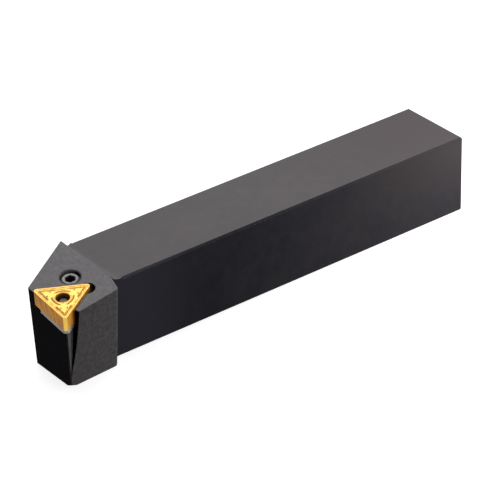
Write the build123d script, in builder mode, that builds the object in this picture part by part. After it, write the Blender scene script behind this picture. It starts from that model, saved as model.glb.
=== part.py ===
from build123d import *
import os
from math import cos, radians, sin, tan

# Right-hand turning tool holder with a lever-locked triangular insert.
#
# Frame: the origin is on the underside of the shank, on its centreline, half way
# along the holder. +X runs towards the rear end of the shank and +Z is up. The
# cutting nose is at the -X end, on the -Y side. Millimetres.
#
# The seat frame is tilted with the insert: its origin is on the insert's axis in
# the plane of the cutting edges, z points out of the insert, x towards the nose
# side of the holder and y back towards the pocket's inner corner.

# Shank
holder_length = 150.0      # rear end of the shank to the cutting nose
shank_width = 25.0
shank_height = 25.0
edge_break = 0.6           # chamfer along the shank's edges

# Cutting nose
nose_offset = 32.0         # far side of the shank to the cutting nose
nose_lead = 1.0            # degrees that the nose leads the far end of the front edge
back_rake = 6.0            # degrees that the seat drops towards the front
side_rake = 6.0            # degrees that the seat drops towards the nose side

# Head
head_length = 24.5         # nose back to where the far side starts to be cut away
bevel_angle = 30.0         # degrees between the cut-away far side and the shank
overhang_length = 19.2     # nose back to the outer edge of the overhang's rear face
overhang_slant = 14.0      # degrees that this face turns back towards the shank
overhang_width = 3.2       # overhang past the shank's side, at its rear, at the base
overhang_taper = 3.6       # degrees that the overhang widens towards the nose
overhang_lean = 5.0        # degrees that the overhang leans out with height
front_relief = 2.55        # nose back to the front face, at the base
front_lean = 4.2           # degrees that the front face leans out with height
ramp_foot = 21.5           # nose back to the foot of the ramp up to the head's top
ramp_angle = 60.0
ramp_radius = 4.0
head_drop = 0.95           # cutting edges down to the head's top face
head_blank = 9.0           # head's blank above the shank, before its top is cut
head_edge_break = 0.9      # rounding of the overhang's rear edges
foot_cut_back = 2.3        # cut across the lowest corner under the nose: along the side,
foot_cut_across = 1.6      # along the front
foot_cut_height = 0.8      # and up the corner
nose_edge_break = 0.45     # chamfer down the corner under the nose

# Insert
inscribed_circle = 9.525
insert_thickness = 4.76
nose_radius = 0.8
insert_bore = 3.81
bore_rim = 0.3             # chamfer of the bore's rims
land_width = 0.28          # flat land along the cutting edges
groove_depth = 0.32        # chip groove below the land
groove_slope = 22.0        # degrees of the groove's outer wall
island_reach = 7.6         # axis to where two sides of the island would meet
island_waist = 2.75        # axis to the middle of each hollow side of the island
island_tip_radius = 0.3
island_edge_break = 0.22   # chamfer round the island's flat top

# Shim
shim_thickness = 1.6
shim_inset = 0.28          # shim's edges inside the insert's
shim_nose_radius = 1.0
shim_corner_reach = 6.55   # axis to the flat across each clipped corner
shim_edge_break = 0.12

# Shim pin, a split sleeve
pin_outer = 5.6
pin_wall = 0.5
pin_length = 6.2
pin_slit = 1.1
pin_sink = 0.15            # pin's top below the shim's top

# Lever
lever_tip_depth = 1.35     # cutting edges down to the lever's tip
lever_tip_diameter = 3.2
lever_waist_diameter = 2.5
lever_root_diameter = 3.0
lever_tip_height = 2.9
lever_tip_crown = 0.55     # flat on the lever's end to its widest radius
lever_pivot_depth = 16.0   # cutting edges down to the rocking axis
heel_diameter = 4.8
heel_width = 3.8
tail_thickness = 2.2
tail_width = 3.4
tail_gap = 0.15            # tail's hollow end to the screw's neck
pin_play = 0.02            # lever tip to the wall of the insert's bore when clamped

# Lever screw
screw_diameter = 6.0
screw_length = 17.0
screw_distance = 9.95      # insert's axis to the screw's axis
screw_bearing = 135.0      # degrees from the seat's x axis to the screw
screw_recess = 0.6         # head's top face down to the screw's top
neck_diameter = 3.4
neck_length = 3.0
neck_rest = 0.2            # lower flank of the neck to the tail
key_across_flats = 2.5
key_depth = 3.0
screw_chamfer = 0.75
thread_clearance = 0.05    # radial play between the screw and its hole

# Pocket and chamber
pocket_overrun = 1.3       # pocket's outline against the insert's, from its inner corner
relief_diameter = 4.7      # round relief in the pocket's inner corner
bore_play = 0.4            # lever bore against the shim pin, on the radius
chamber_width = 4.4
chamber_headroom = 0.7     # tail's top up to the roof of the chamber
ledge_reach = 0.7          # lever's axis to the start of the chamber
mouth_chamfer = 0.3        # chamfer at the mouth of the screw's hole
column_inset = 0.5         # nose support inside the insert's flank
relief_top_reach = 5.75    # nose back to the end of the nose relief, at the top
relief_run = 3.0           # how far that end comes forward down to the base
relief_bow = 0.75          # hollow of that end half way down
relief_slant = 17.0        # degrees that the end turns away from the shank's side

# Places that follow from the sizes
rear_x = holder_length / 2
nose_x = -holder_length / 2
far_y = shank_width / 2
near_y = -shank_width / 2
nose_y = far_y - nose_offset
head_start_x = nose_x + head_length
overhang_x = nose_x + overhang_length
overhang_y = near_y - overhang_width
work_room = 2 * shank_height          # larger than anything that is cut
arc_centre_radius = inscribed_circle - 2 * nose_radius
inradius = inscribed_circle / 2

# Bearings of the triangle's corners in the seat frame, in degrees
far_corner = 210
inner_corner = 90
nose_corner = 330
half_corner = 30

# Seat frame, set out from the centre of the nose arc
seat_up = Vector(-tan(radians(back_rake)), -tan(radians(side_rake)), 1)
front_run = Vector(-sin(radians(nose_lead)), -cos(radians(nose_lead)), 0)
front_run -= Vector(0, 0, 1) * (front_run.dot(seat_up) / seat_up.Z)
nose_arc = Plane(
    origin=(nose_x + nose_radius, nose_y + nose_radius, shank_height),
    x_dir=front_run,
    z_dir=seat_up,
)
axis_place = (
    -arc_centre_radius * cos(radians(nose_corner)),
    -arc_centre_radius * sin(radians(nose_corner)),
)
seat = Plane(
    origin=nose_arc.from_local_coords(axis_place),
    x_dir=nose_arc.x_dir,
    z_dir=nose_arc.z_dir,
)
head_top = seat.offset(-head_drop)
insert_base = seat.offset(-insert_thickness)
pocket_floor = insert_base.offset(-shim_thickness)
pivot_level = seat.offset(-lever_pivot_depth)

# Lever line: from the insert's axis towards the screw's axis
bearing = radians(screw_bearing)
screw_place = (screw_distance * cos(bearing), screw_distance * sin(bearing))
lever_run = seat.x_dir * cos(bearing) + seat.y_dir * sin(bearing)
lever_side = Plane(
    origin=pivot_level.origin,
    x_dir=lever_run,
    z_dir=lever_run.cross(seat.z_dir),
)

# Leaning faces of the head
near_side = Plane(
    origin=(overhang_x, overhang_y, 0),
    z_dir=(tan(radians(overhang_taper)), -1, -tan(radians(overhang_lean))),
)
overhang_rear = Plane(
    origin=(overhang_x, overhang_y, 0),
    z_dir=(
        cos(radians(overhang_slant)),
        -sin(radians(overhang_slant)),
        -sin(radians(overhang_slant)) * tan(radians(overhang_lean)),
    ),
)
nose_flank = Plane(
    origin=seat.origin,
    x_dir=seat.z_dir,
    z_dir=seat.x_dir * cos(radians(half_corner)) + seat.y_dir * sin(radians(half_corner)),
)
column_face = nose_flank.offset(inradius - column_inset)


def triangle_corners(reach):
    """The far, inner and nose corners of a triangle about the seat's axis."""
    bearings = (far_corner, inner_corner, nose_corner)
    return [(reach * cos(radians(a)), reach * sin(radians(a))) for a in bearings]


# Side view of the head: leaning front, ramp and foot fillet
blank_height = shank_height + head_blank
lean_run = blank_height * tan(radians(front_lean))
front_base_x = nose_x + front_relief
ramp_base_x = nose_x + ramp_foot
ramp_run = head_blank / tan(radians(ramp_angle))
ramp_end_x = ramp_base_x + ramp_radius * tan(radians(ramp_angle / 2))
overhang_top_width = overhang_width + shank_height * tan(radians(overhang_lean))
rear_end_x = overhang_x + overhang_top_width * tan(radians(overhang_slant))

# Cut across the lowest corner under the nose
foot_y = overhang_y + (front_base_x - overhang_x) * tan(radians(overhang_taper))
foot_cut = Plane(
    origin=(front_base_x, foot_y, foot_cut_height),
    z_dir=(1 / foot_cut_back, 1 / foot_cut_across, 1 / foot_cut_height),
)

with BuildPart() as head:
    bevel_run = head_length + work_room
    with BuildSketch():
        Polygon(
            (head_start_x, far_y),
            (head_start_x - bevel_run, far_y - bevel_run * tan(radians(bevel_angle))),
            (head_start_x - bevel_run, overhang_y - work_room),
            (rear_end_x, overhang_y - work_room),
            (rear_end_x, near_y),
            (head_start_x, near_y),
            align=None,
        )
    extrude(amount=blank_height)
    with BuildSketch(Plane.XZ.offset(-work_room)) as side_view:
        Polygon(
            (front_base_x, 0),
            (front_base_x - lean_run, blank_height),
            (ramp_base_x - ramp_run, blank_height),
            (ramp_base_x, shank_height),
            (ramp_end_x + edge_break, shank_height),
            (ramp_end_x + edge_break, shank_height - edge_break),
            (rear_end_x, shank_height - edge_break),
            (rear_end_x, 0),
            align=None,
        )
        foot = side_view.vertices().sort_by_distance((ramp_base_x, shank_height))[0]
        fillet(foot, radius=ramp_radius)
    extrude(amount=2 * work_room, mode=Mode.INTERSECT)
    split(bisect_by=near_side, keep=Keep.BOTTOM)
    split(bisect_by=head_top, keep=Keep.BOTTOM)
    split(bisect_by=foot_cut, keep=Keep.TOP)
    # Rear face of the overhang, up to the shank's side
    with BuildSketch() as behind_overhang:
        Polygon(
            (overhang_x, overhang_y - work_room),
            (overhang_x + work_room, overhang_y - work_room),
            (overhang_x + work_room, near_y),
            (overhang_x, near_y),
            align=None,
        )
    behind = extrude(behind_overhang.sketch, amount=blank_height, mode=Mode.PRIVATE)
    add(behind.split(overhang_rear, keep=Keep.TOP), mode=Mode.SUBTRACT)
    back_face = head.faces().filter_by(overhang_rear)[0]
    outer_edge = back_face.edges().sort_by(Axis.Y)[0]
    lower_edge = back_face.edges().sort_by(Axis.Z)[0]
    fillet([outer_edge, lower_edge], radius=head_edge_break)

# Relief beside the nose: its end curves forward towards the base
relief_height = nose_arc.origin.Z
with BuildPart() as nose_relief:
    slant = radians(relief_slant)
    relief_view = Plane(
        origin=(nose_x + relief_top_reach, nose_y, 0),
        x_dir=(cos(slant), sin(slant), 0),
        z_dir=(sin(slant), -cos(slant), 0),
    )
    with BuildSketch(relief_view):
        with BuildLine():
            run = ThreePointArc(
                (0, relief_height),
                (relief_bow - relief_run / 2, relief_height / 2),
                (-relief_run, 0),
            )
            front_side = Line(run @ 1, (-work_room, 0))
            top_side = Line(run @ 0, (0, work_room))
            Polyline(front_side @ 1, (-work_room, work_room), top_side @ 1)
        make_face()
    extrude(amount=work_room, both=True)
    split(bisect_by=column_face, keep=Keep.TOP)

with BuildPart() as holder_body:
    # Shank
    with BuildSketch(Plane.YZ.offset(overhang_x)):
        Rectangle(shank_width, shank_height, align=(Align.CENTER, Align.MIN))
    extrude(amount=rear_x - overhang_x)
    rear_face = holder_body.faces().sort_by(Axis.X)[-1]
    long_edges = holder_body.edges().filter_by(Axis.X)
    chamfer([*long_edges, *rear_face.edges()], length=edge_break)
    # Far side cut back where the head starts, then the head itself
    with BuildSketch():
        Polygon(
            (head_start_x, far_y),
            (head_start_x, far_y + work_room),
            (head_start_x - work_room, far_y + work_room),
            (head_start_x - work_room, far_y - work_room * tan(radians(bevel_angle))),
            align=None,
        )
    extrude(amount=work_room, mode=Mode.SUBTRACT)
    add(head.part)
    # Pocket for the insert and the shim, with its corner relief
    inner = triangle_corners(inscribed_circle)[1]
    reach = [
        (inner[0] + (x - inner[0]) * pocket_overrun, inner[1] + (y - inner[1]) * pocket_overrun)
        for x, y in triangle_corners(inscribed_circle)
    ]
    with BuildSketch(pocket_floor):
        Polygon(*reach, align=None)
        with Locations((0, arc_centre_radius)):
            Circle(relief_diameter / 2)
    extrude(amount=work_room, mode=Mode.SUBTRACT)
    # Relief beside the nose
    add(nose_relief.part, mode=Mode.SUBTRACT)
    # Bore for the lever, with the narrower seat of the shim pin at its mouth
    bore_radius = pin_outer / 2 + bore_play
    seat_length = pin_length - (shim_thickness - pin_sink)
    with BuildSketch(pocket_floor):
        Circle(pin_outer / 2)
    extrude(amount=-seat_length, mode=Mode.SUBTRACT)
    with BuildSketch(pocket_floor.offset(-seat_length)):
        Circle(bore_radius)
    ledge_depth = lever_pivot_depth + heel_diameter / 2 + pin_play
    floor_depth = insert_thickness + shim_thickness
    extrude(amount=-(ledge_depth - floor_depth - seat_length), mode=Mode.SUBTRACT)
    # Tapped hole for the lever screw, right through
    with BuildSketch(head_top):
        with Locations(screw_place):
            Circle(screw_diameter / 2)
    extrude(amount=-work_room, mode=Mode.SUBTRACT)
    mouth = (
        holder_body.edges()
        .filter_by(GeomType.CIRCLE)
        .sort_by_distance(head_top.from_local_coords(screw_place))[0]
    )
    chamfer(mouth, length=mouth_chamfer)
    # Chamber for the lever's tail, milled from the base up
    roof_depth = lever_pivot_depth - tail_thickness / 2 - chamber_headroom
    chamber_start = ledge_reach + chamber_width / 2
    chamber_middle = (chamber_start + screw_distance) / 2
    with BuildSketch(seat.offset(-roof_depth)):
        with Locations((chamber_middle * cos(bearing), chamber_middle * sin(bearing))):
            SlotCenterToCenter(
                screw_distance - chamber_start, chamber_width, rotation=screw_bearing
            )
    extrude(amount=-work_room, mode=Mode.SUBTRACT)
    # Chamfer down the corner under the nose
    corner_edge = (
        holder_body.edges()
        .filter_by(GeomType.LINE)
        .filter_by(lambda e: e.length > shank_height / 2)
        .sort_by_distance((nose_x, nose_y, shank_height / 2))[0]
    )
    chamfer(corner_edge, length=nose_edge_break)

# Chip groove: what is moulded away between the land and the island
with BuildPart() as chip_groove:
    with BuildSketch(seat) as groove_outline:
        Polygon(*triangle_corners(inscribed_circle - 2 * land_width), align=None)
        fillet(groove_outline.vertices(), radius=nose_radius - land_width)
    extrude(amount=-groove_depth, taper=90 - groove_slope)
with BuildPart() as island:
    tips = triangle_corners(island_reach)
    waist_share = -island_waist / island_reach
    with BuildSketch(seat.offset(-groove_depth)) as island_outline:
        with BuildLine():
            for start, opposite, end in ((0, 2, 1), (1, 0, 2), (2, 1, 0)):
                waist = (tips[opposite][0] * waist_share, tips[opposite][1] * waist_share)
                ThreePointArc(tips[start], waist, tips[end])
        make_face()
        fillet(island_outline.vertices(), radius=island_tip_radius)
    extrude(amount=groove_depth)
    island_top = island.faces().filter_by(seat).sort_by(Axis.Z)[-1]
    chamfer(island_top.edges(), length=island_edge_break)

# Insert: the same chip groove on both faces
with BuildPart() as insert:
    with BuildSketch(insert_base) as insert_outline:
        Polygon(*triangle_corners(inscribed_circle), align=None)
        fillet(insert_outline.vertices(), radius=nose_radius)
    extrude(amount=insert_thickness)
    groove = chip_groove.part - island.part
    add(groove, mode=Mode.SUBTRACT)
    mirror(groove, about=seat.offset(-insert_thickness / 2), mode=Mode.SUBTRACT)
    with BuildSketch(insert_base):
        Circle(insert_bore / 2)
    extrude(amount=insert_thickness, mode=Mode.SUBTRACT)
    rims = insert.edges().filter_by(GeomType.CIRCLE).filter_by(
        lambda e: abs(e.radius - insert_bore / 2) < bore_rim
    )
    chamfer(rims, length=bore_rim)

# Shim: clipped at the two corners away from the nose
with BuildPart() as shim:
    shim_circle = inscribed_circle - 2 * shim_inset
    with BuildSketch(pocket_floor) as shim_outline:
        Polygon(*triangle_corners(shim_circle), align=None)
        nose_vertex = shim_outline.vertices().sort_by_distance(triangle_corners(shim_circle)[2])[0]
        fillet(nose_vertex, radius=shim_nose_radius)
        for angle in (far_corner, inner_corner):
            place = (shim_corner_reach * cos(radians(angle)), shim_corner_reach * sin(radians(angle)))
            with Locations(Location(place, angle)):
                Rectangle(
                    shim_circle, shim_circle, align=(Align.MIN, Align.CENTER), mode=Mode.SUBTRACT
                )
        Circle(pin_outer / 2, mode=Mode.SUBTRACT)
    extrude(amount=shim_thickness)
    top_face = shim.faces().filter_by(pocket_floor).sort_by(Axis.Z)[-1]
    chamfer(top_face.outer_wire().edges(), length=shim_edge_break)

# Shim pin: a slit sleeve through the shim into the lever bore
with BuildPart() as shim_pin:
    with BuildSketch(insert_base.offset(-pin_sink)):
        Circle(pin_outer / 2)
        Circle(pin_outer / 2 - pin_wall, mode=Mode.SUBTRACT)
        with Locations(Location((0, 0), inner_corner)):
            Rectangle(pin_outer, pin_slit, align=(Align.MIN, Align.CENTER), mode=Mode.SUBTRACT)
    extrude(amount=-pin_length)

# Lever: a tapered finger on a round heel, with a tail into the screw's neck
tip_radius = lever_tip_diameter / 2
waist_radius = lever_waist_diameter / 2
root_radius = lever_root_diameter / 2
finger_lean = insert_bore / 2 - tip_radius - pin_play
tip_height = lever_pivot_depth - lever_tip_depth
tail_end = screw_distance - neck_diameter / 2 - tail_gap
with BuildPart() as lever:
    # Finger, leaning so that its tip bears on the bore's wall
    finger = Plane(
        origin=pivot_level.origin,
        x_dir=seat.x_dir,
        z_dir=seat.z_dir * tip_height + lever_run * finger_lean,
    )
    finger_view = Plane(origin=finger.origin, x_dir=finger.x_dir, z_dir=-finger.y_dir)
    shoulder_height = tip_height - lever_tip_height
    with BuildSketch(finger_view):
        with BuildLine():
            Polyline(
                (0, tip_height),
                (tip_radius - lever_tip_crown, tip_height),
            )
            tip_arc = ThreePointArc(
                (tip_radius - lever_tip_crown, tip_height),
                (tip_radius, tip_height - lever_tip_height / 2),
                (waist_radius, shoulder_height),
            )
            Polyline(
                tip_arc @ 1,
                (waist_radius, heel_diameter),
                (root_radius, heel_diameter / 2),
                (root_radius, 0),
                (0, 0),
                (0, tip_height),
            )
        make_face()
    revolve(axis=Axis(finger.origin, finger.z_dir))
    # Round heel across the lever
    with BuildSketch(lever_side):
        Circle(heel_diameter / 2)
    extrude(amount=heel_width / 2, both=True)
    # Tail, hollowed at its end round the screw's neck
    with BuildSketch(pivot_level.offset(-tail_thickness / 2)):
        with Locations(Location((0, 0), screw_bearing)):
            Rectangle(screw_distance, tail_width, align=(Align.MIN, Align.CENTER))
        with Locations(screw_place):
            Circle(screw_distance - tail_end, mode=Mode.SUBTRACT)
    extrude(amount=tail_thickness)

# Lever screw: key socket on top, neck near the foot
screw_radius = screw_diameter / 2 - thread_clearance
screw_top_depth = head_drop + screw_recess
with BuildPart() as lever_screw:
    screw_head = Plane(
        origin=seat.offset(-screw_top_depth).from_local_coords(screw_place),
        x_dir=seat.x_dir,
        z_dir=seat.z_dir,
    )
    with BuildSketch(screw_head):
        Circle(screw_radius)
    extrude(amount=-screw_length)
    chamfer(lever_screw.edges().filter_by(GeomType.CIRCLE), length=screw_chamfer)
    neck_foot = lever_pivot_depth + tail_thickness / 2 + neck_rest - screw_top_depth
    with BuildSketch(screw_head.offset(-neck_foot)):
        Circle(screw_radius)
        Circle(neck_diameter / 2, mode=Mode.SUBTRACT)
    extrude(amount=neck_length, mode=Mode.SUBTRACT)
    with BuildSketch(screw_head):
        RegularPolygon(key_across_flats / 2, 6, major_radius=False)
    extrude(amount=-key_depth, mode=Mode.SUBTRACT)

pieces = {
    "holder_body": holder_body,
    "insert": insert,
    "shim": shim,
    "shim_pin": shim_pin,
    "lever": lever,
    "lever_screw": lever_screw,
}
os.makedirs("parts", exist_ok=True)
for name, piece in pieces.items():
    piece.part.label = name
    export_step(piece.part, f"parts/{name}.step")
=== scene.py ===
"""Turning tool holder with a lever-locked triangular insert: finishes, stage and camera.

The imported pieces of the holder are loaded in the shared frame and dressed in
procedural finishes. The insert gets its moulded chip form and the lever screw
its thread as worked-out surfaces. Lengths are in metres: +X runs to the rear
end of the shank, the cutting nose is at -X and -Y, and +Z is up.
"""

import logging
from collections.abc import Sequence
from dataclasses import dataclass, field
from enum import Enum
from typing import Any

import bpy
import numpy as np
from mathutils import Matrix, Vector

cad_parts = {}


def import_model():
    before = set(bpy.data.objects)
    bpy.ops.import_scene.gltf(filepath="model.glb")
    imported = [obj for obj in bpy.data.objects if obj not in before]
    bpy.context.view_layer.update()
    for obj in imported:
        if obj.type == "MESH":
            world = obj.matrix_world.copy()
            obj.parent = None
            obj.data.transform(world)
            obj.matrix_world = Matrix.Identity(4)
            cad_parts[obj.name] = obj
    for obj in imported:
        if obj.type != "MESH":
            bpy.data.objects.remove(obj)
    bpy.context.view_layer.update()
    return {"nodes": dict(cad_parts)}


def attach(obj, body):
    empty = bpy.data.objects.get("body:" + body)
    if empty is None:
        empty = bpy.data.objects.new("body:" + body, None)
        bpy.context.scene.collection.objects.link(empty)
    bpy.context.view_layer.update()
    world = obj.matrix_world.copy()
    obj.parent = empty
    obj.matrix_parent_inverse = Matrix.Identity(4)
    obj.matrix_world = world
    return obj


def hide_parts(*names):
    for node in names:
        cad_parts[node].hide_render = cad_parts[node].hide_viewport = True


LOG = logging.getLogger("tool_holder")
MM = 0.001

Colour = tuple[float, float, float, float]
Triple = tuple[float, float, float]
Array = np.ndarray
Node = bpy.types.Node
Socket = bpy.types.NodeSocket
Tree = bpy.types.NodeTree
Material = bpy.types.Material
Piece = bpy.types.Object
Wires = dict[str | int, Any]

# Bearings of the insert's corners, the nose first, and of its sides, in degrees.
CORNERS = (330.0, 90.0, 210.0)
SIDES = (30.0, 150.0, 270.0)


def srgb(red: float, green: float, blue: float) -> Colour:
    """Turn a colour as a screen shows it into the linear colour a shader takes.

    Args:
        red: Red, 0 to 255.
        green: Green, 0 to 255.
        blue: Blue, 0 to 255.

    Returns:
        The linear colour with an alpha of 1.
    """
    linear = []
    for level in (red / 255, green / 255, blue / 255):
        low = level / 12.92
        high = ((level + 0.055) / 1.055) ** 2.4
        linear.append(low if level <= 0.04045 else high)
    return (linear[0], linear[1], linear[2], 1.0)


class Slot(Enum):
    """The record's material slots."""

    HOLDER_STEEL = "holder_steel"
    INSERT_COATING = "insert_coating"
    SHIM_CARBIDE = "shim_carbide"
    SMALL_STEEL = "small_steel"
    SCREW_STEEL = "screw_steel"


class Body(Enum):
    """The bodies that the new pieces ride on."""

    HOLDER = "holder"
    SCREW = "screw"


# ---- node sheets


@dataclass
class NodeSheet:
    """A node tree that is being drawn up.

    Attributes:
        tree: The tree that the nodes go into.
    """

    tree: Tree

    def wire(self, node: Node, wires: Wires) -> None:
        """Link sockets to a node's inputs, or set the inputs' values.

        Args:
            node: The node.
            wires: Input name or number to a socket to link or a value to set.
        """
        for key, value in wires.items():
            if isinstance(value, Socket):
                self.tree.links.new(value, node.inputs[key])
            else:
                node.inputs[key].default_value = value

    def put(self, kind: str, wires: Wires | None = None, **settings: Any) -> Node:
        """Add one node, set it up and wire it.

        Args:
            kind: The node's type name.
            wires: Input name or number to a socket to link or a value to set.
            **settings: Properties of the node itself.

        Returns:
            The new node.
        """
        node = self.tree.nodes.new(kind)
        for name, value in settings.items():
            setattr(node, name, value)
        self.wire(node, wires or {})
        return node

    def math(self, operation: str, first: Any, second: Any = 0.0, clamp: bool = False) -> Socket:
        """Add a Math node.

        Args:
            operation: The node's operation.
            first: Socket or number on its first input.
            second: Socket or number on its second input.
            clamp: Whether the result is kept between 0 and 1.

        Returns:
            The result's socket.
        """
        node = self.put(
            "ShaderNodeMath", {0: first, 1: second}, operation=operation, use_clamp=clamp
        )
        return node.outputs[0]

    def ramp(
        self, value: Any, low: float, high: float, start: Any = 0.0, end: Any = 1.0
    ) -> Socket:
        """Map a value smoothly from low..high to start..end.

        Args:
            value: The socket to map.
            low: Where the result is start.
            high: Where the result is end.
            start: Result at and below low.
            end: Result at and above high.

        Returns:
            The result's socket.
        """
        wires = {"Value": value, "From Min": low, "From Max": high, "To Min": start, "To Max": end}
        node = self.put("ShaderNodeMapRange", wires, interpolation_type="SMOOTHSTEP", clamp=True)
        return node.outputs["Result"]

    def mix(self, share: Any, first: Any, second: Any) -> Socket:
        """Mix two colours.

        Args:
            share: Socket or number, 0 for the first colour and 1 for the second.
            first: Colour or socket.
            second: Colour or socket.

        Returns:
            The mixed colour's socket.
        """
        wires = {0: share, 6: first, 7: second}
        node = self.put("ShaderNodeMix", wires, data_type="RGBA", clamp_factor=True)
        return node.outputs[2]

    def place(self) -> Socket:
        """The place on the piece, in metres."""
        return self.put("ShaderNodeTexCoord").outputs["Object"]

    def noise(self, vector: Socket, **values: Any) -> Socket:
        """Add a Noise Texture node.

        Args:
            vector: Where the noise is read.
            **values: Input name to a socket or a value.

        Returns:
            The noise's socket, between 0 and 1.
        """
        return self.put("ShaderNodeTexNoise", {"Vector": vector, **values}).outputs[0]

    def bump(self, height: Socket, strength: float, depth: float, normal: Socket) -> Socket:
        """Add a Bump node.

        Args:
            height: The socket to raise the surface by.
            strength: How much of the bump shows.
            depth: Depth of the bump, in metres.
            normal: The normal that it bends.

        Returns:
            The bent normal's socket.
        """
        wires = {"Height": height, "Strength": strength, "Distance": depth, "Normal": normal}
        return self.put("ShaderNodeBump", wires).outputs[0]

    def attribute(self, name: str) -> Socket:
        """Read one of the mesh's own numbers."""
        return self.put("ShaderNodeAttribute", attribute_name=name).outputs["Fac"]

    def use(self, group: Tree, **values: Any) -> Node:
        """Place a node group with its own values.

        Args:
            group: The group's tree.
            **values: Input name to a socket or a value.

        Returns:
            The group's node.
        """
        return self.put("ShaderNodeGroup", values, node_tree=group)

    def mirrored(self, path: Node) -> Socket:
        """Where a surface is seen in metal or through glass.

        Args:
            path: The material's own Light Path node.

        Returns:
            A socket, 1 for glossy and transmission rays.
        """
        rays = (path.outputs["Is Glossy Ray"], path.outputs["Is Transmission Ray"])
        return self.math("MAXIMUM", *rays)


def clean_sheet(owner: Any) -> NodeSheet:
    """Empty the node tree of a material or a world.

    Args:
        owner: The material or the world.

    Returns:
        The tree's sheet.
    """
    owner.use_nodes = True
    owner.node_tree.nodes.clear()
    return NodeSheet(owner.node_tree)


def stand(name: str, data: Any) -> Piece:
    """Put a mesh, a lamp or a camera into the scene.

    Args:
        name: The object's name.
        data: The mesh, the lamp or the camera.

    Returns:
        The object.
    """
    piece = bpy.data.objects.new(name, data)
    bpy.context.scene.collection.objects.link(piece)
    return piece


# ---- shared effects


class Effects:
    """Shader effects that several finishes use, each a node group built once."""

    def __init__(self) -> None:
        """Build the groups."""
        self.edges = self._edges()
        self.grain = self._grain()
        self.mottle = self._mottle()

    @staticmethod
    def _open(
        name: str, inputs: dict[str, tuple[str, Any]], outputs: dict[str, str]
    ) -> tuple[NodeSheet, Node, Node]:
        """Start a group with its sockets.

        Args:
            name: The group's name.
            inputs: Input name to its socket type and default value.
            outputs: Output name to its socket type.

        Returns:
            The group's sheet, its input node and its output node.
        """
        tree = bpy.data.node_groups.new(name, "ShaderNodeTree")
        for label, (kind, value) in inputs.items():
            socket = tree.interface.new_socket(label, in_out="INPUT", socket_type=kind)
            socket.default_value = value
        for label, kind in outputs.items():
            tree.interface.new_socket(label, in_out="OUTPUT", socket_type=kind)
        sheet = NodeSheet(tree)
        return sheet, sheet.put("NodeGroupInput"), sheet.put("NodeGroupOutput")

    def _edges(self) -> Tree:
        """Find the edges of a piece, broken up by noise: a mask for handling wear and for painted
        highlights and painted shade along edges.

        The mask is one less the cosine between the flat normal and the normal
        rounded over the radius, times the gain, times a noise that leaves gaps.

        Returns:
            The group, with the outputs Mask and Normal.
        """
        sheet, given, result = self._open(
            "edge_wear_and_light",
            {
                "Radius": ("NodeSocketFloat", 0.3 * MM),
                "Gain": ("NodeSocketFloat", 4.0),
                "Break": ("NodeSocketFloat", 0.5),
            },
            {"Mask": "NodeSocketFloat", "Normal": "NodeSocketVector"},
        )
        rounded = sheet.put("ShaderNodeBevel", {"Radius": given.outputs["Radius"]}, samples=6)
        flat = sheet.put("ShaderNodeNewGeometry").outputs["Normal"]
        cosine = sheet.put(
            "ShaderNodeVectorMath", {0: rounded.outputs[0], 1: flat}, operation="DOT_PRODUCT"
        ).outputs["Value"]
        turn = sheet.math("SUBTRACT", 1.0, cosine)
        strength = sheet.math("MULTIPLY", turn, given.outputs["Gain"], clamp=True)
        noise = sheet.noise(sheet.place(), Scale=600.0, Detail=3.0)
        gaps = sheet.ramp(noise, 0.35, 0.65)
        kept = sheet.math("MULTIPLY", sheet.math("SUBTRACT", 1.0, gaps), given.outputs["Break"])
        mask = sheet.math("MULTIPLY", strength, sheet.math("SUBTRACT", 1.0, kept), clamp=True)
        sheet.wire(result, {"Mask": mask, "Normal": rounded.outputs[0]})
        return sheet.tree

    def _grain(self) -> Tree:
        """Fine grain: noise stretched by the given scale, about a middle of zero.

        Returns:
            The group, with the output Height between -0.5 and 0.5.
        """
        sheet, given, result = self._open(
            "grain",
            {
                "Stretch": ("NodeSocketVector", (1.0, 1.0, 1.0)),
                "Scale": ("NodeSocketFloat", 2000.0),
                "Detail": ("NodeSocketFloat", 4.0),
            },
            {"Height": "NodeSocketFloat"},
        )
        stretched = sheet.put(
            "ShaderNodeVectorMath",
            {0: sheet.place(), 1: given.outputs["Stretch"]},
            operation="MULTIPLY",
        ).outputs[0]
        scale, detail = given.outputs["Scale"], given.outputs["Detail"]
        noise = sheet.noise(stretched, Scale=scale, Detail=detail, Roughness=0.6)
        sheet.wire(result, {"Height": sheet.math("SUBTRACT", noise, 0.5)})
        return sheet.tree

    def _mottle(self) -> Tree:
        """Cloudy patches of two sizes: the average of a broad and a small noise.

        Returns:
            The group, with the output Value between 0 and 1.
        """
        sheet, given, result = self._open(
            "mottle",
            {"Scale": ("NodeSocketFloat", 60.0), "Contrast": ("NodeSocketFloat", 1.0)},
            {"Value": "NodeSocketFloat"},
        )
        vector = sheet.place()
        scale = given.outputs["Scale"]
        broad = sheet.noise(vector, Scale=scale, Detail=3.0, Distortion=0.4)
        small_scale = sheet.math("MULTIPLY", scale, 6.0)
        small = sheet.noise(vector, Scale=small_scale, Detail=4.0)
        average = sheet.math("MULTIPLY", sheet.math("ADD", broad, small), 0.5)
        about = sheet.math("SUBTRACT", average, 0.5)
        strong = sheet.math("MULTIPLY", about, given.outputs["Contrast"])
        value = sheet.math("ADD", strong, 0.5, clamp=True)
        sheet.wire(result, {"Value": value})
        return sheet.tree


# ---- finishes


def new_material(name: str) -> tuple[Material, NodeSheet, Node]:
    """Start a material with an empty Principled shader.

    Args:
        name: The material's name.

    Returns:
        The material, its sheet and its Principled node.
    """
    material = bpy.data.materials.new(name)
    sheet = clean_sheet(material)
    shader = sheet.put("ShaderNodeBsdfPrincipled")
    sheet.put("ShaderNodeOutputMaterial", {"Surface": shader.outputs[0]})
    return material, sheet, shader


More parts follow.
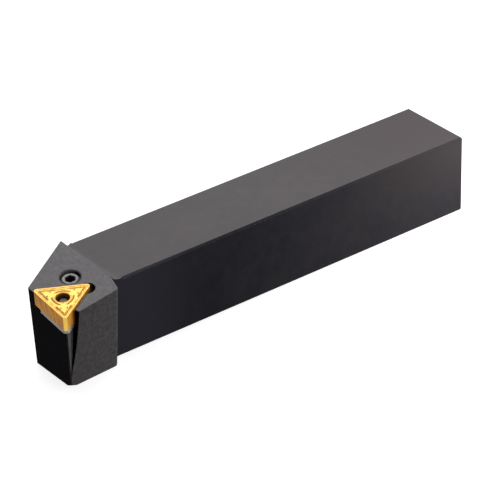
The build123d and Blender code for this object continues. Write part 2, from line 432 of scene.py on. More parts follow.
@dataclass(frozen=True)
class BlackenedSteel:
    """Steel under a dark chemical blacking, with painted light and shade: lighter on the tops,
    darker on the sides and darkest on the front face.

    Attributes:
        ground: Colour of the shank's ground top and base.
        ground_pale: The same in its paler patches.
        ground_rear: The ground faces near the rear end, darkened there as painted shade.
        side: Colour of the shank's sides, darker than the ground faces as painted shade.
        side_warm: The same in its thinner, browner patches.
        side_fore: The sides next to the head.
        side_rear_painted_light: The sides near the rear end, a painted pool of warm light.
        head: Colour of the milled head.
        head_pale: The same in its paler patches.
        head_side: Colour of the head's sides, darker than its top as painted shade.
        head_side_pale: The same in its paler patches.
        front: Colour of the front face, painted near black as painted shade.
        painted_edge_shade: Colour of the painted shade along the shank's edges.
        sparkle: Colour of the bare grains along the same edges.
        wear_and_highlight: Colour along the head's edges, partly handling wear and partly a
            painted highlight.
        roughness: Middle roughness.
        roughness_spread: How much the grain changes it.
        shine: Specular level of the blacking.
        head_end: Where the milled head meets the shank.
    """

    ground: Colour = srgb(99, 97, 98)
    ground_pale: Colour = srgb(109, 105, 107)
    ground_rear: Colour = srgb(96, 91, 93)
    side: Colour = srgb(42, 43, 51)
    side_warm: Colour = srgb(54, 53, 57)
    side_fore: Colour = srgb(63, 64, 74)
    side_rear_painted_light: Colour = srgb(60, 58, 60)
    head: Colour = srgb(111, 109, 111)
    head_pale: Colour = srgb(131, 129, 131)
    head_side: Colour = srgb(90, 89, 91)
    head_side_pale: Colour = srgb(121, 119, 120)
    front: Colour = srgb(27, 27, 33)
    painted_edge_shade: Colour = srgb(27, 28, 32)
    sparkle: Colour = srgb(150, 152, 158)
    wear_and_highlight: Colour = srgb(150, 148, 148)
    roughness: float = 0.46
    roughness_spread: float = 0.22
    shine: float = 0.005
    head_end: float = -54.3 * MM

    def material(self, effects: Effects) -> Material:
        """Build the material.

        Args:
            effects: The shared effects.

        Returns:
            The material.
        """
        material, sheet, shader = new_material("blackened_steel")
        place = sheet.put("ShaderNodeSeparateXYZ", {0: sheet.place()})
        along = place.outputs["X"]
        on_shank = sheet.ramp(along, self.head_end - 0.6 * MM, self.head_end + 0.6 * MM)
        fine = sheet.use(effects.edges, Radius=0.3 * MM, Gain=3.0, Break=0.8)
        broad = sheet.use(effects.edges, Radius=0.45 * MM, Gain=5.0, Break=0.3)
        colour = self._tones(sheet, effects, place, on_shank)
        # Painted shade: the shank's edges are darkened, more towards the rear end.
        painted_edge_shade = sheet.math("MULTIPLY", broad.outputs["Mask"], on_shank)
        strength = sheet.ramp(along, 0.0, 50 * MM, 0.5, 1.0)
        colour = sheet.mix(sheet.math("MULTIPLY", painted_edge_shade, strength), colour, self.painted_edge_shade)
        specks = sheet.use(effects.grain, Scale=1500.0, Detail=1.0).outputs["Height"]
        specks = sheet.math("MULTIPLY", sheet.ramp(specks, 0.09, 0.16, 0.0, 0.6), painted_edge_shade)
        fading = sheet.ramp(along, -5 * MM, 25 * MM, 1.0, 0.0)
        colour = sheet.mix(sheet.math("MULTIPLY", specks, fading), colour, self.sparkle)
        on_head = sheet.math("SUBTRACT", 1.0, on_shank)
        # Along the head's edges: partly handling wear, partly a painted highlight.
        wear_and_highlight_mask = sheet.math("MULTIPLY", fine.outputs["Mask"], on_head)
        colour = sheet.mix(sheet.math("MULTIPLY", wear_and_highlight_mask, 0.5), colour, self.wear_and_highlight)
        grain = sheet.use(effects.grain, Stretch=(0.3, 1.0, 1.0), Scale=2400.0)
        peel = sheet.use(effects.grain, Scale=700.0)
        height = sheet.math("ADD", grain.outputs["Height"], peel.outputs["Height"])
        spread = sheet.math("MULTIPLY", height, self.roughness_spread)
        wires = {
            "Base Color": colour,
            "Roughness": sheet.math("ADD", spread, self.roughness),
            "Normal": sheet.bump(height, 0.35, 0.03 * MM, fine.outputs["Normal"]),
            "Specular IOR Level": self.shine,
        }
        sheet.wire(shader, wires)
        return material

    def _tones(
        self, sheet: NodeSheet, effects: Effects, place: Node, on_shank: Socket
    ) -> Socket:
        """Tones of the shank's ground faces, its sides and the head, with painted light and shade
        set by the way a face points.

        Args:
            sheet: The material's sheet.
            effects: The shared effects.
            place: Place on the holder, split into its coordinates.
            on_shank: 1 on the shank and 0 on the head.

        Returns:
            The colour's socket.
        """
        patches = sheet.use(effects.mottle, Scale=48.0, Contrast=2.2).outputs["Value"]
        speckle = sheet.use(effects.mottle, Scale=900.0, Contrast=3.4).outputs["Value"]
        normal = sheet.put("ShaderNodeTexCoord").outputs["Normal"]
        facing = sheet.put("ShaderNodeSeparateXYZ", {0: normal})
        flat = sheet.ramp(sheet.math("ABSOLUTE", facing.outputs["Z"]), 0.8, 0.92)
        front_shade_mask = sheet.ramp(facing.outputs["X"], -0.8, -0.95)
        rearward = sheet.ramp(place.outputs["X"], 5 * MM, 75 * MM)
        height = sheet.ramp(place.outputs["Z"], 0.0, 25 * MM, 0.1, 1.0)
        fine = sheet.math("MULTIPLY", sheet.math("SUBTRACT", speckle, 0.5), 0.35)
        patches = sheet.math("ADD", patches, fine, clamp=True)
        ground = sheet.mix(patches, self.ground, self.ground_pale)
        # Painted shade: the ground faces darken towards the rear end.
        ground = sheet.mix(rearward, ground, self.ground_rear)
        side = sheet.mix(patches, self.side, self.side_warm)
        forward = sheet.ramp(place.outputs["X"], -50 * MM, -20 * MM, 1.0, 0.0)
        side = sheet.mix(forward, side, self.side_fore)
        # Painted light: the sides turn lighter and warmer towards the rear end and towards the
        # top.
        side = sheet.mix(sheet.math("MULTIPLY", rearward, height), side, self.side_rear_painted_light)
        # Painted light and shade: the flat tops and base take the lighter ground tone, the sides
        # the darker side tone.
        shank = sheet.mix(flat, side, ground)
        head_side = sheet.mix(speckle, self.head_side, self.head_side_pale)
        # Painted shade: the front face turns near black.
        head_side = sheet.mix(front_shade_mask, head_side, self.front)
        # Painted light and shade: the head's top is lighter than its sides.
        head = sheet.mix(flat, head_side, sheet.mix(speckle, self.head, self.head_pale))
        return sheet.mix(on_shank, head, shank)


@dataclass(frozen=True)
class GoldCoating:
    """Gold-coloured hard coating on pressed carbide.

    Attributes:
        coat: Colour of the coating.
        shade: Colour in its duller patches.
        recess_shade: Colour of the painted shade down in the chip grooves and the bore.
        flank: Colour of the pressed flanks.
        streak: Colour of the pressing marks that run up the flanks.
        painted_highlight: Colour of the painted highlight along the honed edges and the rounded
            corners.
        metallic: How metallic the faces and the flanks are.
        roughness: Roughness of the faces and the flanks.
        corner_polish: How much smoother the rounded corners are.
        shine: Specular level of the coating.
    """

    coat: Colour = srgb(220, 178, 94)
    shade: Colour = srgb(202, 157, 70)
    recess_shade: Colour = srgb(146, 100, 32)
    flank: Colour = srgb(228, 162, 54)
    streak: Colour = srgb(190, 124, 32)
    painted_highlight: Colour = srgb(255, 210, 98)
    metallic: tuple[float, float] = (0.6, 0.75)
    roughness: tuple[float, float] = (0.4, 0.5)
    corner_polish: float = 0.2
    shine: float = 0.25

    def material(self, effects: Effects) -> Material:
        """Build the material; it reads the insert's attributes recess_shade, flank and corner, for
        painted shade in the recesses and a painted highlight on the corners.

        Args:
            effects: The shared effects.

        Returns:
            The material.
        """
        material, sheet, shader = new_material("gold_coating")
        patches = sheet.use(effects.mottle, Scale=330.0, Contrast=2.4).outputs["Value"]
        colour = sheet.mix(patches, self.shade, self.coat)
        # Painted shade: the coating darkens down in the chip grooves and the bore.
        colour = sheet.mix(sheet.attribute("recess_shade"), colour, self.recess_shade)
        streaks = sheet.use(effects.grain, Stretch=(1.0, 1.0, 0.12), Scale=1100.0)
        dull = sheet.ramp(streaks.outputs["Height"], -0.12, 0.12)
        flank = sheet.mix(dull, self.flank, self.streak)
        on_flank, at_corner = sheet.attribute("flank"), sheet.attribute("corner")
        colour = sheet.mix(on_flank, colour, flank)
        # Painted highlight on the rounded corners.
        colour = sheet.mix(at_corner, colour, self.painted_highlight)
        edge = sheet.use(effects.edges, Radius=0.14 * MM, Gain=3.0, Break=0.2)
        # Painted highlight along the honed edges.
        colour = sheet.mix(edge.outputs["Mask"], colour, self.painted_highlight)
        grain = sheet.use(effects.grain, Scale=5200.0)
        metal = sheet.ramp(on_flank, 0.0, 1.0, *self.metallic)
        rough = sheet.ramp(on_flank, 0.0, 1.0, *self.roughness)
        polish = sheet.math("MULTIPLY", at_corner, self.corner_polish)
        bump = sheet.bump(grain.outputs["Height"], 0.3, 0.015 * MM, edge.outputs["Normal"])
        wires = {
            "Base Color": colour,
            "Metallic": sheet.math("MAXIMUM", metal, at_corner),
            "Roughness": sheet.math("SUBTRACT", rough, polish),
            "Normal": bump,
            "Specular IOR Level": self.shine,
        }
        sheet.wire(shader, wires)
        return material


@dataclass(frozen=True)
class BareMetal:
    """Bare ground metal: carbide, or steel with a thin phosphate layer.

    Attributes:
        name: The finish's name.
        dark: Colour in the darker patches.
        light: Colour in the paler patches.
        metallic: How metallic the surface is.
        roughness: Its roughness.
        recess_shade_colour: Colour of the painted shade down in a socket.
    """

    name: str
    dark: Colour
    light: Colour
    metallic: float
    roughness: float
    recess_shade_colour: Colour = srgb(18, 17, 18)

    def material(self, effects: Effects) -> Material:
        """Build the material; it paints shade where a mesh's attribute recess_shade is 1.

        Args:
            effects: The shared effects.

        Returns:
            The material.
        """
        material, sheet, shader = new_material(self.name)
        patches = sheet.use(effects.mottle, Scale=300.0, Contrast=1.8)
        colour = sheet.mix(patches.outputs["Value"], self.dark, self.light)
        # Painted shade where the attribute recess_shade is 1, as down in the screw's socket.
        colour = sheet.mix(sheet.attribute("recess_shade"), colour, self.recess_shade_colour)
        edge = sheet.use(effects.edges, Radius=0.12 * MM, Gain=2.0, Break=0.4)
        grain = sheet.use(effects.grain, Scale=5000.0)
        bump = sheet.bump(grain.outputs["Height"], 0.25, 0.01 * MM, edge.outputs["Normal"])
        wires = {
            "Base Color": colour,
            "Metallic": self.metallic,
            "Roughness": self.roughness,
            "Normal": bump,
        }
        sheet.wire(shader, wires)
        return material


# ---- worked-out surfaces


def way(bearing: Any) -> Array:
    """The unit vector of each bearing in degrees, coordinates in the last dimension."""
    turn = np.radians(bearing)
    return np.stack([np.cos(turn), np.sin(turn)], axis=-1)


def smooth_step(value: Array, low: float, high: float) -> Array:
    """Rise from 0 to 1 between low and high: t squared times three less two t."""
    share = np.clip((value - low) / (high - low), 0.0, 1.0)
    return share * share * (3.0 - 2.0 * share)


def bump_between(value: Array, start: float, middle: float, end: float) -> Array:
    """Rise smoothly from start to middle and fall again to end."""
    return smooth_step(value, start, middle) * (1.0 - smooth_step(value, middle, end))


@dataclass(frozen=True)
class SeatFrame:
    """The tilted frame of the insert, in millimetres and degrees.

    Its origin is on the insert's axis in the plane of the cutting edges; x runs
    to the nose side of the holder, y to the pocket's inner corner and z up out
    of the insert.

    Attributes:
        nose: The corner that the nose would reach unrounded.
        rake: How far the seat drops towards the front and towards the nose side.
        lead: How far the nose leads the far end of the front edge.
        reach: Diameter of the circle that touches the insert's sides.
        nose_radius: Radius of the insert's corners.
    """

    nose: Triple = (-75.0, -19.5, 25.0)
    rake: float = 6.0
    lead: float = 1.0
    reach: float = 9.525
    nose_radius: float = 0.8

    def axes(self) -> Array:
        """The frame's axes; z is the normal of a plane with the rake's two slopes.

        Returns:
            The three unit axes as rows.
        """
        slope, lead = np.tan(np.radians(self.rake)), np.radians(self.lead)
        up = np.array([-slope, -slope, 1.0])
        run = np.array([-np.sin(lead), -np.cos(lead), 0.0])
        run[2] = -(run @ up) / up[2]
        z_axis = up / np.linalg.norm(up)
        x_axis = run / np.linalg.norm(run)
        return np.array([x_axis, np.cross(z_axis, x_axis), z_axis])

    def place(self, points: Array) -> Array:
        """Carry points of this frame into the holder's frame.

        The origin is set back from the centre of the nose arc, along the nose's
        bearing, by the circle's diameter less two nose radii.

        Args:
            points: Points in millimetres, coordinates in the last dimension.

        Returns:
            The points in the holder's frame, in metres.
        """
        axes = self.axes()
        arc = np.array(self.nose) + np.array([self.nose_radius, self.nose_radius, 0.0])
        back = np.append((self.reach - 2 * self.nose_radius) * way(CORNERS[0]), 0.0)
        return (arc - back @ axes + points @ axes) * MM


@dataclass
class GridMesh:
    """A mesh over a grid of points that closes on itself around each row.

    Attributes:
        name: The piece's name.
        points: Rows by columns by three coordinates, in metres.
        looped: Whether the last row also joins the first.
        numbers: Attribute name to its value at each point of the grid.
    """

    name: str
    points: Array
    looped: bool = False
    numbers: dict[str, Array] = field(default_factory=dict)

    def _faces(self) -> list[tuple[int, ...]]:
        """Squares between neighbouring rows, and fans over two open ends.

        Returns:
            The numbers of each face's vertices.
        """
        rows, columns = self.points.shape[:2]
        index = np.arange(rows * columns).reshape(rows, columns)
        if self.looped:
            index = np.vstack([index, index[:1]])
        here, beyond = index[:-1], index[1:]
        squares = np.stack(
            [here, beyond, np.roll(beyond, -1, axis=1), np.roll(here, -1, axis=1)], axis=-1
        )
        faces = squares.reshape(-1, 4).tolist()
        if not self.looped:
            first, last, count = index[0], index[-1], rows * columns
            start = np.stack([np.full(columns, count), first, np.roll(first, -1)], axis=-1)
            end = np.stack([np.full(columns, count + 1), np.roll(last, -1), last], axis=-1)
            faces += start.tolist() + end.tolist()
        return faces

    def build(self, sharp_above: float = 28.0) -> Piece:
        """Build the piece, smooth but for edges above an angle.

        Args:
            sharp_above: The angle in degrees.

        Returns:
            The piece.
        """
        vertices = self.points.reshape(-1, 3)
        if not self.looped:
            centres = [self.points[0].mean(axis=0), self.points[-1].mean(axis=0)]
            vertices = np.vstack([vertices, centres])
        mesh = bpy.data.meshes.new(self.name)
        mesh.from_pydata(vertices.tolist(), [], self._faces())
        for name, values in self.numbers.items():
            flat = values.astype(np.float32).ravel()
            if not self.looped:
                flat = np.append(flat, [flat[0], flat[-1]]).astype(np.float32)
            mesh.attributes.new(name, "FLOAT", "POINT").data.foreach_set("value", flat)
        mesh.validate()
        mesh.shade_smooth()
        mesh.set_sharp_from_angle(angle=np.radians(sharp_above))
        return stand(self.name, mesh)


@dataclass(frozen=True)
class Stroke:
    """A moulded stroke of the chip form, in millimetres.

    Attributes:
        depth: Its depth.
        start: Where it starts.
        middle: Where it is deepest.
        end: Where it ends.
    """

    depth: float
    start: float
    middle: float
    end: float

    def across(self, inset: Array) -> Array:
        """Its depth at each inset: the depth times a bump from start to end."""
        return self.depth * bump_between(inset, self.start, self.middle, self.end)


@dataclass
class InsertForm:
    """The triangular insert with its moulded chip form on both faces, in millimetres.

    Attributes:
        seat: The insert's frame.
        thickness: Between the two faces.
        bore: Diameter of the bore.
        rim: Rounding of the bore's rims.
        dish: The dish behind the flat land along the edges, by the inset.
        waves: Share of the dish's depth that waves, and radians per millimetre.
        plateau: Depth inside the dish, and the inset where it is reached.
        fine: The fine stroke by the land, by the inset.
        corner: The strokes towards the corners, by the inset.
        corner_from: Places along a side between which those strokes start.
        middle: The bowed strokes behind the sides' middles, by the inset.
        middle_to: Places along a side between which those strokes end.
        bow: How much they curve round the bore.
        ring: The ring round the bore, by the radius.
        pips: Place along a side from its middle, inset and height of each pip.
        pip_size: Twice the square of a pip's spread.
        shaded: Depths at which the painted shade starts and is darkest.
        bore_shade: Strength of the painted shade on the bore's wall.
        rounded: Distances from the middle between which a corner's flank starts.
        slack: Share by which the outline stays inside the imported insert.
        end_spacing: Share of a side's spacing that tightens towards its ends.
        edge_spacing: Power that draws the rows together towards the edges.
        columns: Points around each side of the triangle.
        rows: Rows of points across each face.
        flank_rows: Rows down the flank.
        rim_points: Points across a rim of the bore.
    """

    seat: SeatFrame = field(default_factory=SeatFrame)
    thickness: float = 4.76
    bore: float = 3.81
    rim: float = 0.3
    dish: Stroke = Stroke(0.11, 0.2, 0.85, 1.55)
    waves: tuple[float, float] = (0.25, 2.4)
    plateau: tuple[float, float] = (0.04, 1.2)
    fine: Stroke = Stroke(0.07, 0.34, 0.5, 0.66)
    corner: Stroke = Stroke(0.12, 0.74, 1.12, 1.54)
    corner_from: tuple[float, float] = (1.5, 2.4)
    middle: Stroke = Stroke(0.2, 1.58, 1.95, 2.3)
    middle_to: tuple[float, float] = (1.7, 2.5)
    bow: float = 0.12
    ring: Stroke = Stroke(0.07, 2.22, 2.36, 2.5)
    pips: Sequence[Triple] = ((3.3, 1.75, -0.2), (4.5, 0.95, 0.12), (5.4, 0.95, 0.1))
    pip_size: float = 0.045
    shaded: tuple[float, float] = (0.05, 0.25)
    bore_shade: float = 0.8
    rounded: tuple[float, float] = (8.3, 8.6)
    slack: float = 0.0001
    end_spacing: float = 0.4
    edge_spacing: float = 1.25
    columns: int = 132
    rows: int = 64
    flank_rows: int = 5
    rim_points: int = 5

    def _outline(self) -> Array:
        """The rounded triangle, counted round from the nose.

        Each side is an arc of 120 degrees about a corner's centre and then the
        straight run to the next arc, whose points are a little closer at its
        ends. The arc gets a quarter of the points.

        Returns:
            The points, in the plane of the faces.
        """
        radius = self.seat.nose_radius
        reach = self.seat.reach - 2 * radius
        arc_count = self.columns // 4
        runs = []
        share = np.linspace(0.0, 1.0, self.columns - arc_count + 2)[1:-1, None]
        spaced = 0.5 - 0.5 * np.cos(np.pi * share)
        share = (1.0 - self.end_spacing) * share + self.end_spacing * spaced
        for corner in CORNERS:
            centre, next_centre = reach * way(corner), reach * way(corner + 120.0)
            arc = radius * way(np.linspace(corner - 60.0, corner + 60.0, arc_count))
            straight = (centre + arc[-1]) * (1 - share) + (next_centre + arc[-1]) * share
            runs += [centre + arc, straight]
        return np.vstack(runs) * (1.0 - self.slack)

    def _inset(self, plan: Array) -> tuple[Array, Array]:
        """How far points lie inside the outline, and how far along their side.

        Inside, it is the inscribed radius less the largest product with a
        side's normal. Beyond a corner's centre it is the corner's radius less
        the distance to that centre.

        Args:
            plan: Points in the plane of the faces.

        Returns:
            The inset and the place along the nearest side from its middle.
        """
        across, along = way(SIDES).T, way(np.add(SIDES, 90.0)).T
        out = plan @ across
        nearest = out.argmax(axis=-1)[..., None]
        inset = self.seat.reach / 2 - out.max(axis=-1)
        place = np.take_along_axis(plan @ along, nearest, axis=-1)[..., 0]
        radius = self.seat.nose_radius
        for corner in CORNERS:
            off = plan - (self.seat.reach - 2 * radius) * way(corner)
            distance = np.linalg.norm(off, axis=-1)
            beyond = off @ way(corner) > 0.5 * distance
            inset = np.where(beyond, radius - distance, inset)
        return inset, place

    def _depth(self, plan: Array) -> Array:
        """Depth of the chip form below the cutting edges.

        A shallow waved dish follows the land all round, and a plateau stays
        inside it. Narrow strokes lie over them: one along each side towards the
        corners, where two meet in a V, a bowed one behind the middle of each
        side, a fine one by the land and a ring round the bore. Small pips stand
        between them, and a pip with a negative height is a dimple.

        Args:
            plan: Points in the plane of the faces.

        Returns:
            The depth at each point, in millimetres.
        """
        inset, place = self._inset(plan)
        centre = np.linalg.norm(plan, axis=-1)
        off_middle = np.abs(place)
        waves = 1.0 + self.waves[0] * np.cos(self.waves[1] * place)
        plateau = self.plateau[0] * smooth_step(inset, self.dish.start, self.plateau[1])
        near_corner = smooth_step(off_middle, *self.corner_from)
        near_middle = 1.0 - smooth_step(off_middle, *self.middle_to)
        bowed = inset - self.bow * place**2
        depth = waves * self.dish.across(inset) + plateau + self.fine.across(inset)
        depth = depth + near_corner * self.corner.across(inset)
        depth = depth + near_middle * self.middle.across(bowed) + self.ring.across(centre)
        for spot, back, height in self.pips:
            for side in (-1.0, 1.0):
                gap = (place - side * spot) ** 2 + (inset - back) ** 2
                depth = depth - height * np.exp(-gap / self.pip_size)
        return np.maximum(depth, 0.0)

    def build(self) -> Piece:
        """Build the insert as one closed grid.

        Each column runs from the bore's upper rim out over the upper face,
        down the flank, in over the lower face and up the bore's wall. Across a
        face it is the straight line from the bore to the outline, lowered by
        the depth of the chip form.

        Returns:
            The insert.
        """
        outline = self._outline()
        bearing = np.arctan2(outline[:, 1], outline[:, 0])
        ray = np.stack([np.cos(bearing), np.sin(bearing)], axis=-1)
        hole = self.bore / 2
        inward = np.linspace(1.0, 0.0, self.rows)[:, None, None]
        share = 1.0 - inward**self.edge_spacing
        inner = ray * (hole + self.rim)
        plan = inner + (outline - inner) * share
        depth = self._depth(plan)
        upper = np.concatenate([plan, -depth[..., None]], axis=-1)
        lower = np.concatenate([plan, (depth - self.thickness)[..., None]], axis=-1)[::-1]
        levels = np.linspace(0.0, 1.0, self.flank_rows + 2)[1:-1, None, None]
        flank = upper[-1] * (1 - levels) + lower[0] * levels
        quarter = 1.0 - way(np.linspace(0.0, 90.0, self.rim_points))
        rim_out, rim_in = hole + self.rim * quarter[:, 0], self.rim * quarter[:, 1]
        between = self.thickness * np.array([-0.75, -0.5, -0.25])
        wall_radius = np.concatenate([rim_out[::-1], np.full(3, hole), rim_out])[1:-1]
        wall_level = np.concatenate([rim_in[::-1] - self.thickness, between, -rim_in])[1:-1]
        wall = np.concatenate(
            [
                ray[None] * wall_radius[:, None, None],
                np.broadcast_to(wall_level[:, None, None], (len(wall_level), len(ray), 1)),
            ],
            axis=-1,
        )
        grid = np.concatenate([upper, flank, lower, wall])
        numbers = self._numbers(depth, len(wall), outline)
        form = GridMesh("cutting_insert", self.seat.place(grid), looped=True, numbers=numbers)
        return form.build()

    def _numbers(self, depth: Array, wall_rows: int, outline: Array) -> dict[str, Array]:
        """The numbers that the coating reads.

        Args:
            depth: Depth of the chip form over one face.
            wall_rows: Rows up the bore's wall.
            outline: The outline's points.

        Returns:
            recess_shade (painted shade), flank and corner at each point of the grid.
        """
        columns = depth.shape[1]
        # Painted shade: darker the deeper the chip form, and on the bore's wall.
        face = smooth_step(depth, *self.shaded)
        blank = np.zeros((self.flank_rows, columns))
        wall = np.full((wall_rows, columns), self.bore_shade)
        recess_shade = np.concatenate([face, blank, face[::-1], wall])
        outer = slice(len(depth) - 1, len(depth) + self.flank_rows + 1)
        flank, corner = np.zeros_like(recess_shade), np.zeros_like(recess_shade)
        flank[outer] = 1.0
        corner[outer] = smooth_step(np.linalg.norm(outline, axis=-1), *self.rounded)
        return {"recess_shade": recess_shade, "flank": flank, "corner": corner}


@dataclass
class ScrewForm:
    """The lever screw with its thread, neck and key socket, in millimetres.

    Attributes:
        seat: The insert's frame.
        place: The screw's axis in that frame.
        top: Level of its upper end in that frame.
        length: Its length.
        crest: Radius over the thread.
        pitch: Rise of the thread in one turn.
        thread_depth: Crest to root.
        flank: Steepness of the thread's flanks and width of its crest's flat.
        bevel: Chamfer at both ends.
        neck_foot: Upper end to the foot of the neck.
        neck_length: Length of the neck.
        neck_radius: Its radius.
        step: Length of the step at each end of the neck.
        key: Half the key socket's width across flats.
        key_depth: Its depth.
        drilled: How far its floor goes on below that.
        lead_in: Width and depth of the socket's lead-in, from its lower end up.
        rows_per_turn: Rows along one turn of the thread.
        socket_shade_rows: Rows at the start that lie down in the socket, painted in shade.
        columns: Points around.
    """

    seat: SeatFrame = field(default_factory=SeatFrame)
    place: tuple[float, float] = (-7.03571, 7.03571)
    top: float = -1.55
    length: float = 17.0
    crest: float = 2.95
    pitch: float = 1.0
    thread_depth: float = 0.55
    flank: tuple[float, float] = (1.25, 0.12)
    bevel: float = 0.75
    neck_foot: float = 15.75
    neck_length: float = 3.0
    neck_radius: float = 1.7
    step: float = 0.001
    key: float = 1.25
    key_depth: float = 3.0
    drilled: float = 0.3
    lead_in: Sequence[tuple[float, float]] = ((0.0, 0.35), (0.12, 0.1), (0.35, 0.0))
    rows_per_turn: int = 12
    socket_shade_rows: int = 4
    columns: int = 120

    def _thread(self, turn: Array, level: Array) -> Array:
        """Radius of the thread: the crest less its depth times a trapezoid wave.

        The wave's phase is the level over the pitch less the turn over a full
        turn, so the ridge climbs one pitch in each turn.

        Args:
            turn: Angle about the axis, in radians.
            level: Height along the axis.

        Returns:
            The radius at each point.
        """
        phase = (level / self.pitch - turn / (2 * np.pi)) % 1.0
        valley = 1.0 - np.abs(2.0 * phase - 1.0)
        wave = np.clip(self.flank[0] * valley - self.flank[1], 0.0, 1.0)
        return self.crest - self.thread_depth * wave

    def build(self) -> Piece:
        """Build the screw as one grid from the socket's floor round to the foot.

        A row is a level and a radius at each angle. The socket's rows use the
        hexagon's radius, half its width over the cosine of the angle from the
        nearest flat's middle. The outside is the lesser of the thread, the
        chamfers at both ends, and the neck where it runs.

        Returns:
            The screw.
        """
        turn = np.linspace(0.0, 2 * np.pi, self.columns, endpoint=False)
        sector = (turn + np.pi / 6) % (np.pi / 3) - np.pi / 6
        hexagon = self.key / np.cos(sector)
        flat_radius = self.crest - self.bevel
        rows = [
            (hexagon * 0.5, -self.key_depth - self.drilled),
            (hexagon, -self.key_depth),
            *((hexagon + width, -down) for width, down in self.lead_in),
        ]
        foot = self.neck_foot
        head = foot - self.neck_length
        turns = np.arange(0.0, self.length, self.pitch / self.rows_per_turn)
        steps = [head, head + self.step, foot, foot + self.step, self.length]
        depth = np.unique(np.concatenate([turns, steps]))[:, None]
        radius = self._thread(turn[None, :], -depth)
        ends = flat_radius + np.minimum(depth, self.length - depth)
        radius = np.minimum(radius, ends)
        in_neck = (depth > head) & (depth < foot + self.step)
        radius = np.where(in_neck, self.neck_radius, radius)
        radii = np.vstack([row[0] for row in rows] + [radius])
        heights = np.vstack([[row[1]] for row in rows] + [-depth])
        grid = np.stack(
            [
                self.place[0] + radii * np.cos(turn),
                self.place[1] + radii * np.sin(turn),
                np.broadcast_to(self.top + heights, radii.shape),
            ],
            axis=-1,
        )
        # Painted shade down in the key socket.
        recess_shade = np.zeros(radii.shape)
        recess_shade[: self.socket_shade_rows] = 1.0
        form = GridMesh("threaded_lever_screw", self.seat.place(grid), numbers={"recess_shade": recess_shade})
        return form.build()


# ---- sub-assemblies


@dataclass
class Assembly:
    """Pieces that are built and dressed together.

    Attributes:
        nodes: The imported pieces.
        effects: The shared effects.
    """

    nodes: dict[str, Piece]
    effects: Effects

    def dress(
        self, finish: BlackenedSteel | GoldCoating | BareMetal, slot: Slot, *pieces: Piece
    ) -> list[str]:
        """Give pieces one finish.

        Args:
            finish: Their finish.
            slot: The record's slot; not used.
            *pieces: The pieces.

        Returns:
            The names of the pieces.
        """
        material = finish.material(self.effects)
        for piece in pieces:
            piece.data.materials.clear()
            piece.data.materials.append(material)
        return [piece.name for piece in pieces]


@dataclass
class HolderBody(Assembly):
    """The steel holder: shank, head and pocket.

    Attributes:
        finish: The holder's finish.
    """

    finish: BlackenedSteel = field(default_factory=BlackenedSteel)

    def build(self) -> list[str]:
        """Dress the holder and return its name."""
        return self.dress(self.finish, Slot.HOLDER_STEEL, self.nodes["holder_body"])


@dataclass
class CuttingSet(Assembly):
    """The insert and the shim under it.

    Attributes:
        form: The insert's shape.
        coating: The insert's finish.
        carbide: The shim's finish.
    """

    form: InsertForm = field(default_factory=InsertForm)
    coating: GoldCoating = field(default_factory=GoldCoating)
    carbide: BareMetal = BareMetal(
        "ground_carbide", srgb(168, 169, 172), srgb(204, 204, 207), 0.4, 0.4
    )

    def build(self) -> list[str]:
        """Build the insert and dress the shim.

        Returns:
            The names of the pieces.
        """
        insert = self.form.build()
        names = self.dress(self.coating, Slot.INSERT_COATING, insert)
        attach(insert, Body.HOLDER.value)
        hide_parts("insert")
        return names + self.dress(self.carbide, Slot.SHIM_CARBIDE, self.nodes["shim"])


@dataclass
class LeverLock(Assembly):
    """The lever, its screw and the split pin that holds the shim.

    Attributes:
        form: The screw's shape.
        small: Finish of the lever and the pin.
        screw: Finish of the screw.
    """

    form: ScrewForm = field(default_factory=ScrewForm)
    small: BareMetal = BareMetal(
        "phosphated_steel", srgb(72, 65, 60), srgb(88, 80, 74), 0.2, 0.5
    )
    screw: BareMetal = BareMetal("screw_steel", srgb(92, 91, 93), srgb(120, 118, 120), 0.2, 0.45)

    def build(self) -> list[str]:
        """Dress the lever and the pin and build the screw.

        Returns:
            The names of the pieces.
        """
        lever, pin = self.nodes["lever"], self.nodes["shim_pin"]
        names = self.dress(self.small, Slot.SMALL_STEEL, lever, pin)
        screw = self.form.build()
        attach(screw, Body.SCREW.value)
        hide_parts("lever_screw")
        return names + self.dress(self.screw, Slot.SCREW_STEEL, screw)


# ---- stage


@dataclass(frozen=True)
class Softbox:
    """One square lamp that faces a point.

    Attributes:
        name: The lamp's name.
        place: Where it stands.
        side: Length of its side.
        power: Its power in watts.
        tint: Its colour.
        aim: The point that it faces.
    """

    name: str
    place: Triple
    side: float
    power: float
    tint: Triple = (1.0, 1.0, 1.0)
    aim: Triple = (0.0, 0.0, 0.012)

    def build(self) -> None:
        """Build the lamp."""
        data = bpy.data.lights.new(self.name, "AREA")
        data.shape = "SQUARE"
        data.size = self.side
        data.energy = self.power
        data.color = self.tint
        lamp = stand(self.name, data)
        away = Vector(self.place) - Vector(self.aim)
        lamp.location = self.place
        lamp.rotation_euler = away.to_track_quat("Z", "Y").to_euler()
        lamp.visible_camera = False


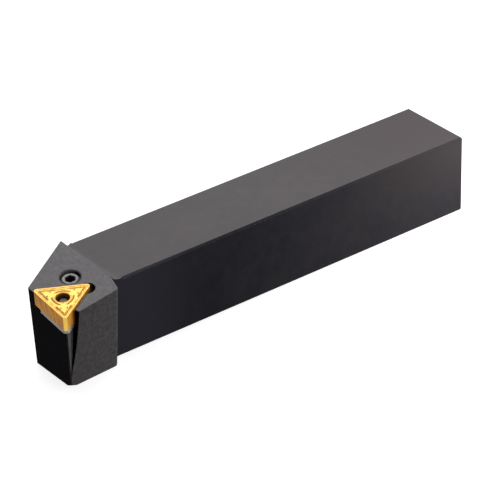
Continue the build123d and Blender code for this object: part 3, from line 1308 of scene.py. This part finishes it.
@dataclass
class Studio:
    """Plain pale floor, soft lamps, dim surroundings and the camera.

    Attributes:
        softboxes: The lamps.
        eye: The camera's place.
        ahead: The camera's direction of view.
        up: The camera's up direction.
        lens: Focal length in millimetres on a 36 mm sensor.
        surround: Level of the surroundings' light.
        mirrored: Level of the floor and the surroundings in metal.
        glow: Level of the floor to the eye, before the lamps add to it.
        floor_seen: Tone in which the floor takes the lamps, to the eye.
        floor_dim: The same as a light.
        floor_reach: Half the floor's width.
        floor_level: Its height.
    """

    softboxes: Sequence[Softbox] = (
        Softbox("over_softbox", (0.24, 0.34, 0.95), 0.9, 11.0),
        Softbox("near_softbox", (0.45, -0.85, 0.35), 0.5, 2.2),
        Softbox(
            "rear_end_softbox",
            (0.125, -0.09, 0.036),
            0.04,
            0.19,
            (1.0, 0.93, 0.88),
            (0.075, -0.0125, 0.015),
        ),
    )
    eye: Triple = (-0.42953, -0.572056, 0.43362)
    ahead: Triple = (0.518802, 0.685628, -0.510646)
    up: Triple = (0.329483, 0.390815, 0.859479)
    lens: float = 205.70
    surround: float = 0.02
    mirrored: float = 0.76
    glow: float = 0.84
    floor_seen: Colour = (0.5, 0.5, 0.5, 1.0)
    floor_dim: Colour = (0.04, 0.04, 0.04, 1.0)
    floor_reach: float = 6.0
    floor_level: float = -0.02 * MM

    def build(self) -> None:
        """Build the stage."""
        self._floor()
        for softbox in self.softboxes:
            softbox.build()
        self._world()
        self._camera()
        bpy.context.scene.view_settings.view_transform = "Standard"

    def _floor(self) -> None:
        """A wide floor just under the shank, white to the eye and dim as a light."""
        ways = ((-1, -1), (1, -1), (1, 1), (-1, 1))
        corners = [(x * self.floor_reach, y * self.floor_reach, self.floor_level) for x, y in ways]
        mesh = bpy.data.meshes.new("floor")
        mesh.from_pydata(corners, [], [(0, 1, 2, 3)])
        material = bpy.data.materials.new("white_floor")
        sheet = clean_sheet(material)
        path = sheet.put("ShaderNodeLightPath")
        straight = path.outputs["Is Camera Ray"]
        seen = sheet.math("MAXIMUM", straight, sheet.mirrored(path))
        strength = sheet.ramp(straight, 0.0, 1.0, self.mirrored, self.glow)
        glow = sheet.put("ShaderNodeEmission", {"Color": (1, 1, 1, 1), "Strength": strength})
        tone = sheet.mix(straight, self.floor_dim, self.floor_seen)
        pale = sheet.put("ShaderNodeBsdfDiffuse", {"Color": tone})
        dim = sheet.put("ShaderNodeBsdfDiffuse", {"Color": self.floor_dim})
        lit = sheet.put("ShaderNodeAddShader", {0: glow.outputs[0], 1: pale.outputs[0]})
        mixed = sheet.put(
            "ShaderNodeMixShader", {0: seen, 1: dim.outputs[0], 2: lit.outputs[0]}
        )
        sheet.put("ShaderNodeOutputMaterial", {"Surface": mixed.outputs[0]})
        mesh.materials.append(material)
        floor = stand("floor", mesh)

    def _world(self) -> None:
        """White surroundings to the eye and in metal, dim as a light."""
        world = bpy.data.worlds.new("studio")
        bpy.context.scene.world = world
        sheet = clean_sheet(world)
        path = sheet.put("ShaderNodeLightPath")
        strength = sheet.ramp(sheet.mirrored(path), 0.0, 1.0, self.surround, self.mirrored)
        strength = sheet.math("MAXIMUM", strength, path.outputs["Is Camera Ray"])
        glow = sheet.put("ShaderNodeBackground", {"Color": (1, 1, 1, 1), "Strength": strength})
        sheet.put("ShaderNodeOutputWorld", {"Surface": glow.outputs[0]})

    def _camera(self) -> None:
        """The camera at its place, level by its up direction."""
        data = bpy.data.cameras.new("camera")
        data.lens = self.lens
        data.sensor_width = 36.0
        data.clip_start = 0.05
        data.clip_end = 50.0
        data.dof.use_dof = False
        camera = stand("camera", data)
        back = -Vector(self.ahead).normalized()
        right = Vector(self.up).cross(back).normalized()
        above = back.cross(right)
        turn = Matrix((right, above, back)).transposed().to_4x4()
        camera.matrix_world = Matrix.Translation(Vector(self.eye)) @ turn
        bpy.context.scene.camera = camera


def main() -> None:
    """Load the holder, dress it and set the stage."""
    logging.basicConfig(level=logging.INFO, format="%(name)s: %(message)s")
    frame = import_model()
    effects = Effects()
    for assembly in (HolderBody, CuttingSet, LeverLock):
        for name in assembly(frame["nodes"], effects).build():
            LOG.info("%s: %s", assembly.__name__, name)
    Studio().build()


if __name__ == "__main__":
    main()
